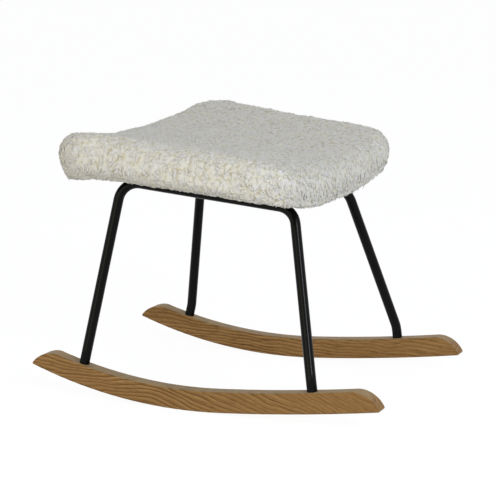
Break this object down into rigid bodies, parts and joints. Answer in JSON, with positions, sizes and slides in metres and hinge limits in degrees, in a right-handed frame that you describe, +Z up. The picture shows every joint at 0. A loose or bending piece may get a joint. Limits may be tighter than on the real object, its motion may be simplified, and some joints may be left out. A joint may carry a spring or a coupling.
{
  "type": "rocking footstool",
  "caption": "Footstool on two curved wooden rockers, with slim splayed bent-tube steel legs and a wide dished seat covered in curly cream pile.",
  "frame": {"origin": "on the floor, in the middle of the stool's length and width, as it stands at rest", "axes": "+X along the rockers towards the low end of the seat, +Y across the stool to the right-hand rocker, +Z up"},
  "size_m": [0.5888, 0.542, 0.431],
  "materials": {
    "rocker_wood": "satin",
    "black_tube": "satin",
    "plated_steel": "satin",
    "plywood": "matte",
    "foam": "matte",
    "curly_pile": "matte",
    "liner_cloth": "matte"
  },
  "bodies": {
    "root": {"rocker_left": "rocker_wood", "rocker_right": "rocker_wood", "frame_left": "black_tube", "frame_right": "black_tube", "rail_high": "black_tube", "rail_low": "black_tube", "leg_plugs": "plated_steel", "rocker_screws": "plated_steel", "rocker_washers": "plated_steel", "seat_shell": "plywood", "tee_nuts": "plated_steel", "seat_bolts": "plated_steel", "seat_washers": "plated_steel", "foam_pad": "foam", "seat_cover": "curly_pile", "seat_liner": "liner_cloth"}
  },
  "joints": []
}
